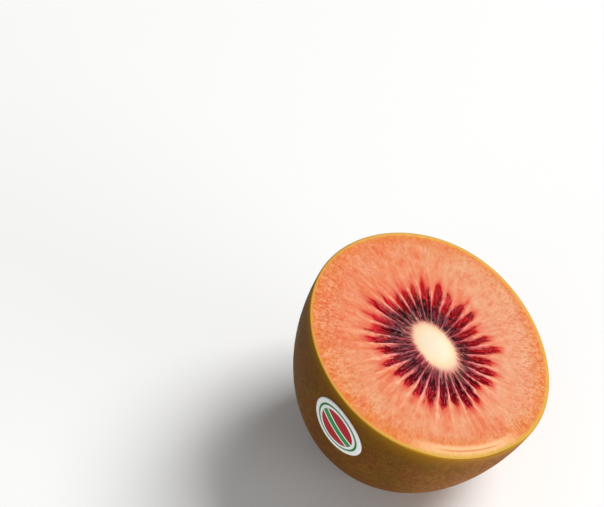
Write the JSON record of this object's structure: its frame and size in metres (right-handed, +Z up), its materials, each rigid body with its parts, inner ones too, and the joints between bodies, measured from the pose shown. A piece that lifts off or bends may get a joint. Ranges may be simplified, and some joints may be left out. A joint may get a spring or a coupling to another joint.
{
  "type": "kiwi fruit half",
  "caption": "Half a red-fleshed kiwi fruit, cut across the middle, standing on its skin with the cut face up and leaning, and a plain oval label on its side.",
  "frame": {"origin": "middle of the small flat spot that the fruit rests on", "axes": "+Z up, +X the way the fruit's axis and its cut face lean, +Y completes the right-handed frame"},
  "size_m": [0.0455, 0.0499, 0.0384],
  "materials": {
    "fruit": "smooth olive-brown skin, wet salmon-red flesh with wine-red rays, dark seeds and a cream core on the cut face",
    "label": "thin coated paper, white with a plain red and green pattern"
  },
  "bodies": {
    "root": {"kiwi_half": "fruit", "fruit_label": "label"}
  },
  "joints": []
}
